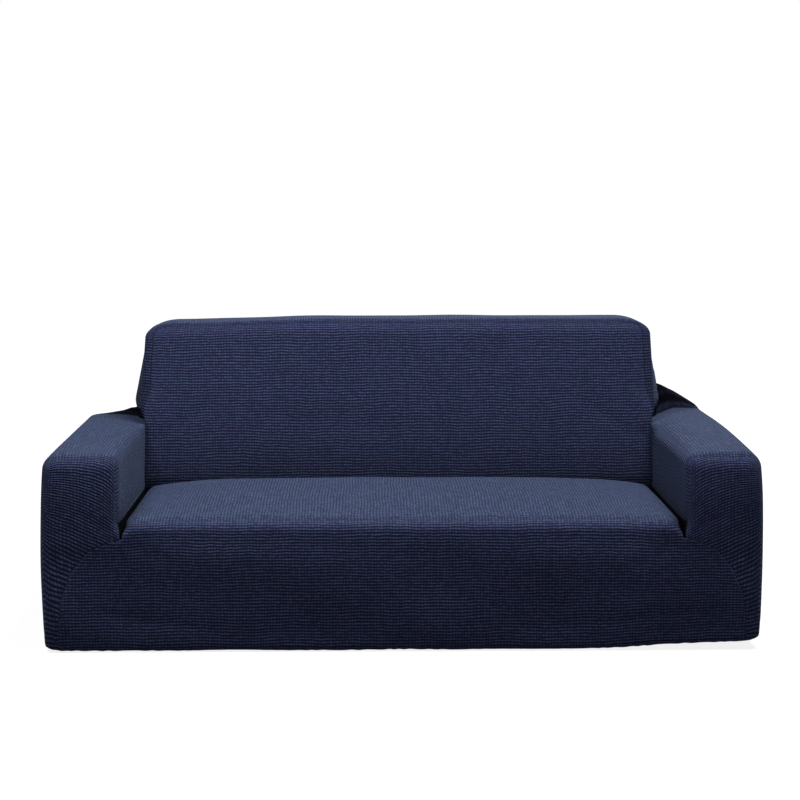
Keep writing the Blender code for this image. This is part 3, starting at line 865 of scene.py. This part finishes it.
def seat_threads(plan):
    """The apron's threads go on over the rounded edge and along the seat."""
    behind = plan[..., 1] - FRONT
    saved = SEAT_EDGE_SAVED * smooth(behind / SEAT_EDGE[1])
    return plan[..., 0], SEAT_FRONT_TOP + behind - saved


def wall_threads(plan):
    """The seat's side walls hang from its top: columns count backwards and rows upwards."""
    return plan[..., 1], plan[..., 2]


def hem_threads(plan):
    """Under the hem the rows count on inwards, by the distance from the nearer outer side."""
    inset = np.maximum(HALF - np.abs(plan[..., 0]), 0.0)
    inset = np.minimum(inset, REAR - np.abs(plan[..., 1]))
    return plan[..., 0] + plan[..., 1], -inset


def hem_patch(edge):
    """The hem under a stretch of the lower edge, turned in towards the middle on mitred lines."""
    inset = down(fine((0.0, HEM_TURN)))
    x = edge[None, :, 0] * (1.0 - inset / HALF)
    y = edge[None, :, 1] * (1.0 - inset / REAR)
    return patch(grid(x, y, 0.0), (0, 0, -1), hem_threads)


# Where the seat's front edge and the hem's band end, and the steps from the notch to the seam.
EDGE_BEHIND = 0.04
HEM_BAND = 0.035
SEAM_STEPS = 25
SEAM_SPREAD = np.linspace(0.0, 1.0, SEAM_STEPS + 1)[1:]
TUCK_ACROSS = fine((SEAT_SIDE, ARM_INNER))
seat_columns = across(both_sides(fine((0.0, SEAT_SIDE))))
seat_rows = fine((FRONT, FRONT + EDGE_BEHIND, SEAT_REAR))
seat_up = fine((NOTCH_FLOOR, SEAT_FRONT_TOP))
tuck_rows = fine((SEAT_REAR, BACK_FACE))
apron_up = fine((0.0, HEM_BAND, NOTCH_FLOOR))

seat_top = grid(seat_columns, down(seat_rows), SEAT_FRONT_TOP)
seat_front = grid(seat_columns, FRONT, down(seat_up))
seat_behind = grid(seat_columns, SEAT_REAR, down(seat_up))
tuck_floor = grid(seat_columns, down(tuck_rows), NOTCH_FLOOR)
apron = grid(seat_columns, FRONT, down(apron_up))
seat_patches = [
    patch(seat_top, (0, 0, 1), seat_threads, round_seat),
    patch(seat_front, (0, -1, 0), front_threads, round_seat),
    patch(seat_behind, (0, 1, 0), front_threads, round_seat),
    patch(tuck_floor, (0, 0, 1), front_threads),
    patch(apron, (0, -1, 0), front_threads),
    hem_patch(apron[0]),
]
for side in (-1, 1):
    wall = grid(side * SEAT_SIDE, across(seat_rows), down(seat_up))
    side_floor = grid(across(side * TUCK_ACROSS), down(seat_rows), NOTCH_FLOOR)
    corner_floor = grid(across(side * TUCK_ACROSS), down(tuck_rows), NOTCH_FLOOR)
    # Under the notch's floor the columns run straight, and from there they spread to the seam.
    straight = np.broadcast_to(TUCK_ACROSS, (len(apron_up), len(TUCK_ACROSS)))
    spread = ARM_INNER + (seam_distance(down(apron_up)) - ARM_INNER) * SEAM_SPREAD
    end = grid(side * np.hstack([straight, spread]), FRONT, down(apron_up))
    seat_patches += [
        patch(wall, (side, 0, 0), wall_threads, round_seat),
        patch(side_floor, (0, 0, 1), wall_threads),
        patch(corner_floor, (0, 0, 1), wall_threads),
        patch(end, (0, -1, 0), front_threads),
        hem_patch(end[0]),
    ]

# Soft folds of the apron and seat: one row for each, in metres.
SEAT_FOLDS = (
    # from, to, width, depth
    ((-0.69, -0.42, 0.275), (-0.56, -0.42, 0.215), 0.014, 0.0016),
    ((0.69, -0.42, 0.275), (0.57, -0.42, 0.205), 0.014, 0.0016),
    ((-0.80, -0.42, 0.10), (-0.45, -0.42, 0.045), 0.016, 0.0018),
    ((0.30, -0.42, 0.05), (0.78, -0.42, 0.095), 0.016, 0.0016),
    ((-0.62, -0.30, 0.345), (-0.20, -0.12, 0.355), 0.030, 0.0020),
    ((0.62, -0.28, 0.345), (0.25, -0.05, 0.358), 0.030, 0.0020),
)
SEAT_COLUMN = 0.0078
SEAT_ROW = 0.0076
seat = sew("knit_seat_and_apron", seat_patches, SEAT_FOLDS)
dress(seat, "knit_of_seat", SEAT_COLUMN, SEAT_ROW)
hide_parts("seat_and_apron")
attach(seat, "root")

# -------------------------------------------------------------------------------------------------
# Arms. Each is one cut of the same knit: up the inner side, over the top, down the outer side and
# over the front, where the pull towards the notch slants its rows. It is sewn to the apron in
# front, to the seat in the side tuck and to the outside back along the rear edge.

ARM_WIDTH = HALF - ARM_INNER
ARM_ACROSS = fine((0.0, ARM_WIDTH))

# How the rows bend: at the inner edge over the notch and at the outer top corner, and how soon the
# bends fade out behind the front.
INNER_BEND = 0.042
INNER_BEND_WIDTH = 0.034
INNER_BEND_UP = (0.24, 0.12)
CORNER_BEND = 0.034
CORNER_BEND_WIDTH = 0.022
CORNER_BEND_DOWN = 0.075
SLANT_FADE = 0.16

# How steeply the rows of an arm's front fall towards its inner edge, from the hem up.
ROW_SLANTS = (
    # height, fall for each metre across
    (0.00, 0.02),
    (0.10, 0.14),
    (0.19, 0.30),
    (0.27, 0.44),
    (0.34, 0.42),
    (0.41, 0.26),
    (0.46, 0.08),
    (0.49, 0.00),
)


def arm_bend(out, z):
    """How much a row is shifted at a distance out from the arm's inner edge and at a height.

    Rows fall towards the notch by the table's slants, dip steeply at the inner edge and arch over
    the outer top corner.
    """
    heights, slants = np.array(ROW_SLANTS).T
    notch = INNER_BEND * np.exp(-out / INNER_BEND_WIDTH) * growth(z, INNER_BEND_UP)
    corner = np.exp(-(ARM_WIDTH - out) / CORNER_BEND_WIDTH)
    corner = CORNER_BEND * corner * np.exp(-((ARM_TOP - z) / CORNER_BEND_DOWN) ** 2)
    return notch + corner - np.interp(z, heights, slants) * out


def arm_front_threads(plan):
    """Columns count outwards from the inner edge, and rows upwards with their bend."""
    out = np.abs(plan[..., 0]) - ARM_INNER
    return out, plan[..., 2] + arm_bend(out, plan[..., 2])


def arm_top_threads(plan):
    """The front's threads go on backwards, and their bend fades out."""
    out = np.abs(plan[..., 0]) - ARM_INNER
    behind = plan[..., 1] - FRONT
    return out, ARM_TOP + behind + arm_bend(out, ARM_TOP) * np.exp(-behind / SLANT_FADE)


def arm_outer_threads(plan):
    """Columns go on from the front's outer edge backwards, and the rows' bend fades out."""
    behind = plan[..., 1] - FRONT
    fade = np.exp(-behind / SLANT_FADE)
    return ARM_WIDTH + behind, plan[..., 2] + arm_bend(ARM_WIDTH, plan[..., 2]) * fade


def arm_inner_threads(plan):
    """Columns go on from the front's inner edge backwards, and the rows' bend fades out."""
    behind = plan[..., 1] - FRONT
    fade = np.exp(-behind / SLANT_FADE)
    return -behind, plan[..., 2] + arm_bend(0.0, plan[..., 2]) * fade


back_rows = fine((BACK_FACE, REAR))
arm_up = fine((NOTCH_FLOOR, ARM_TOP))
inner_rows = np.concatenate([seat_rows, tuck_rows[1:]])
arm_rows = np.concatenate([inner_rows, back_rows[1:]])
outer_up = np.concatenate([apron_up, arm_up[1:]])


def arm_patches(side):
    """Inner side, top, outer side and front of one arm, with the hem along it."""
    inner_edge = np.where(down(outer_up) > NOTCH_FLOOR, ARM_INNER, seam_distance(down(outer_up)))
    front_x = side * (inner_edge + (HALF - inner_edge) * across(ARM_ACROSS / ARM_WIDTH))
    inner = grid(side * ARM_INNER, across(inner_rows), down(arm_up))
    top = grid(across(side * (ARM_INNER + ARM_ACROSS)), down(arm_rows), ARM_TOP)
    outer = grid(side * HALF, across(arm_rows), down(outer_up))
    front = grid(front_x, FRONT, down(outer_up))
    return [
        patch(inner, (-side, 0, 0), arm_inner_threads),
        patch(top, (0, 0, 1), arm_top_threads),
        patch(outer, (side, 0, 0), arm_outer_threads),
        patch(front, (0, -1, 0), arm_front_threads),
        hem_patch(front[0]),
        hem_patch(outer[0]),
    ]


# Soft folds of the arms, given for the right one: one row for each, in metres.
ARM_FOLDS = (
    # from, to, width, depth
    ((0.835, -0.42, 0.487), (0.893, -0.42, 0.420), 0.006, 0.0014),
    ((0.72, -0.42, 0.30), (0.80, -0.42, 0.34), 0.012, 0.0014),
    ((0.73, 0.05, 0.50), (0.80, 0.38, 0.505), 0.018, 0.0020),
    ((0.893, -0.30, 0.05), (0.893, 0.05, 0.12), 0.020, 0.0018),
)
ARM_COLUMN = 0.0080
ARMS = (
    # name, side, pitch of the rows, height of the cells
    ("arm_left", -1, 0.0092, 0.0019),
    ("arm_right", 1, 0.0088, 0.0010),
)
for name, side, row, cell_relief in ARMS:
    mirror = np.array((side, 1, 1))
    folds = [(start * mirror, end * mirror, width, depth) for start, end, width, depth in ARM_FOLDS]
    arm = sew("knit_" + name, arm_patches(side), folds)
    dress(arm, "knit_of_" + name, ARM_COLUMN, row, cell_relief)
    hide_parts(name)
    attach(arm, "root")

# -------------------------------------------------------------------------------------------------
# Inside back. One cut of the knit comes up out of the rear tuck, covers the leaning front of the
# back, turns over its top and closes its two ends. It is sewn to the outside back all round.

BACK_EDGE = (0.085, 0.034, 0.045)
BACK_EDGE_UP = (ARM_TOP, 0.11)


def round_back(points):
    """Round the back's top and its upright edges, which fade out at the top of the arms."""
    share = growth(points[..., 2], BACK_EDGE_UP)
    low = np.array((-ARM_INNER, BACK_FACE, -BEYOND))
    high = np.array((ARM_INNER, REAR, BACK_TOP))
    return round_box(points, low, high, np.array(BACK_EDGE) * share[..., None])


def back_top_threads(plan):
    """The front's threads go on over the top: rows count backwards."""
    return plan[..., 0], BACK_TOP + plan[..., 1] - BACK_FACE


def back_end_threads(plan):
    """The front's threads go on round the ends: columns count backwards."""
    return ARM_INNER + plan[..., 1] - BACK_FACE, plan[..., 2]


back_columns = across(both_sides(np.concatenate([fine((0.0, SEAT_SIDE)), TUCK_ACROSS[1:]])))
back_up = fine((ARM_TOP, BACK_TOP))
inside_up = np.concatenate([arm_up, back_up[1:]])
inside_front = grid(back_columns, BACK_FACE, down(inside_up))
inside_top = grid(back_columns, down(back_rows), BACK_TOP)
back_patches = [
    patch(inside_front, (0, -1, 0), front_threads, round_back),
    patch(inside_top, (0, 0, 1), back_top_threads, round_back),
]
for side in (-1, 1):
    end = grid(side * ARM_INNER, across(back_rows), down(back_up))
    back_patches.append(patch(end, (side, 0, 0), back_end_threads, round_back))

BACK_FOLDS = (
    # from, to, width, depth
    ((-0.70, 0.16, 0.45), (-0.50, 0.20, 0.56), 0.020, 0.0022),
    ((0.70, 0.16, 0.45), (0.52, 0.20, 0.55), 0.020, 0.0022),
    ((-0.45, 0.19, 0.52), (0.10, 0.18, 0.47), 0.035, 0.0020),
)
BACK_COLUMN = 0.0078
BACK_ROW = 0.0078
back = sew("knit_inside_back", back_patches, BACK_FOLDS)
dress(back, "knit_of_inside_back", BACK_COLUMN, BACK_ROW)
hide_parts("inside_back")
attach(back, "root")

# -------------------------------------------------------------------------------------------------
# Outside back. A full-width cut of the knit closes the rear, drawn up between the arms' corners and
# the back as two webs, and turned in at the hem like the other pieces.


def rear_threads(plan):
    """Columns count from the middle, as seen from behind, and rows from the hem up."""
    return -plan[..., 0], plan[..., 2]


rear_low = grid(back_columns, REAR, down(outer_up))
rear_high = grid(back_columns, REAR, down(back_up))
rear_patches = [
    patch(rear_low, (0, 1, 0), rear_threads),
    patch(rear_high, (0, 1, 0), rear_threads, round_back),
    hem_patch(rear_low[0]),
]
for side in (-1, 1):
    end = grid(across(side * (ARM_INNER + ARM_ACROSS)), REAR, down(outer_up))
    rear_patches += [patch(end, (0, 1, 0), rear_threads), hem_patch(end[0])]

REAR_FOLDS = (
    # from, to, width, depth
    ((-0.84, 0.42, 0.40), (-0.55, 0.42, 0.46), 0.030, 0.0022),
    ((0.84, 0.42, 0.40), (0.50, 0.42, 0.44), 0.030, 0.0022),
    ((-0.55, 0.42, 0.10), (0.10, 0.42, 0.06), 0.025, 0.0020),
    ((0.20, 0.42, 0.35), (0.65, 0.42, 0.42), 0.040, 0.0022),
)
rear = sew("knit_outside_back", rear_patches, REAR_FOLDS)
dress(rear, "knit_of_outside_back", BACK_COLUMN, BACK_ROW)
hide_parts("outside_back")
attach(rear, "root")

# -------------------------------------------------------------------------------------------------
# Studio. A plain white floor and backdrop, one large soft light overhead, a small one over the left
# arm, and weaker ones in front and behind.

FLOOR_DROP = 0.0005
FLOOR_SIZE = 60.0
FLOOR_BOUNCE = 0.22
NEAR_GLOW = 0.86
GLOW_FROM = 1.2
GLOW_TO = 4.5
WORLD_LIGHT = 0.05


def studio_floor(height):
    """A wide square whose glow is white to look at far off and painted a little dimmer near the
    piece, where its shadow falls.
    """
    half = FLOOR_SIZE / 2
    mesh = bpy.data.meshes.new("floor")
    corners = [(-half, -half), (half, -half), (half, half), (-half, half)]
    mesh.from_pydata([(x, y, height) for x, y in corners], [], [(0, 1, 2, 3)])
    floor = bpy.data.objects.new("floor", mesh)
    bpy.context.scene.collection.objects.link(floor)
    material = bpy.data.materials.new("studio_floor")
    material.use_nodes = True
    tree = material.node_tree
    shader = tree.nodes["Principled BSDF"]
    shader.inputs["Base Color"].default_value = (FLOOR_BOUNCE, FLOOR_BOUNCE, FLOOR_BOUNCE, 1.0)
    shader.inputs["Roughness"].default_value = 1.0
    shader.inputs["Specular IOR Level"].default_value = 0.0
    shader.inputs["Emission Color"].default_value = (1.0, 1.0, 1.0, 1.0)
    place = tree.nodes.new("ShaderNodeTexCoord").outputs["Object"]
    away = add_node(tree, "ShaderNodeVectorMath", place, operation="LENGTH").outputs["Value"]
    glow = (away, GLOW_FROM, GLOW_TO, NEAR_GLOW, 1.0)
    glow = add_node(tree, "ShaderNodeMapRange", *glow).outputs[0]
    seen = tree.nodes.new("ShaderNodeLightPath").outputs["Is Camera Ray"]
    tree.links.new(calculate(tree, "MULTIPLY", glow, seen), shader.inputs["Emission Strength"])
    mesh.materials.append(material)
    floor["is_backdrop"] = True


def soft_light(name, place, target, size, power):
    """A rectangular area light that faces its target."""
    data = bpy.data.lights.new(name, "AREA")
    data.shape = "RECTANGLE"
    data.size, data.size_y = size
    data.energy = power
    light = bpy.data.objects.new(name, data)
    light.location = place
    facing = Vector(target) - Vector(place)
    light.rotation_euler = facing.to_track_quat("-Z", "Y").to_euler()
    light.visible_camera = False
    bpy.context.scene.collection.objects.link(light)


def white_world(strength):
    """White all round, and dimmer as a light than to the eye."""
    world = bpy.data.worlds.new("white")
    world.use_nodes = True
    tree = world.node_tree
    ground = tree.nodes["Background"]
    ground.inputs["Color"].default_value = (1.0, 1.0, 1.0, 1.0)
    seen = tree.nodes.new("ShaderNodeLightPath").outputs["Is Camera Ray"]
    level = add_node(tree, "ShaderNodeMapRange", seen, 0.0, 1.0, strength, 1.0)
    tree.links.new(level.outputs[0], ground.inputs["Strength"])
    bpy.context.scene.world = world


studio_floor(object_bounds()[0].z - FLOOR_DROP)
white_world(WORLD_LIGHT)
LIGHTS = (
    # name, place, target, size, watts
    ("overhead", (1.15, -0.64, 4.5), (0.0, 0.0, 0.3), (2.6, 1.4), 276.0),
    ("left_top", (-1.3, -0.78, 2.4), (-0.8, 0.0, 0.4), (0.8, 0.8), 36.0),
    ("front_fill", (-2.0, -4.4, 2.2), (-0.2, 0.0, 0.4), (3.0, 2.0), 6.0),
    ("rear_fill", (1.2, 4.6, 2.6), (0.0, 0.4, 0.4), (3.0, 2.0), 40.0),
)
for light in LIGHTS:
    soft_light(*light)

# The camera: the place, turn and focal length that put the cover's corners where the photo does.
CAMERA_PLACE = (-0.0935, -5.0306, 1.1483)
CAMERA_TURN = 0.0185
CAMERA_TILT = 0.1123
FOCAL_LENGTH = 84.87
SENSOR_WIDTH = 36.0
camera_data = bpy.data.cameras.new("camera")
camera_data.lens = FOCAL_LENGTH
camera_data.sensor_width = SENSOR_WIDTH
camera = bpy.data.objects.new("camera", camera_data)
look = Vector((
    np.sin(CAMERA_TURN) * np.cos(CAMERA_TILT),
    np.cos(CAMERA_TURN) * np.cos(CAMERA_TILT),
    -np.sin(CAMERA_TILT),
))
camera.location = CAMERA_PLACE
camera.rotation_euler = look.to_track_quat("-Z", "Y").to_euler()
bpy.context.scene.collection.objects.link(camera)
bpy.context.scene.camera = camera
bpy.context.scene.view_settings.view_transform = "Standard"
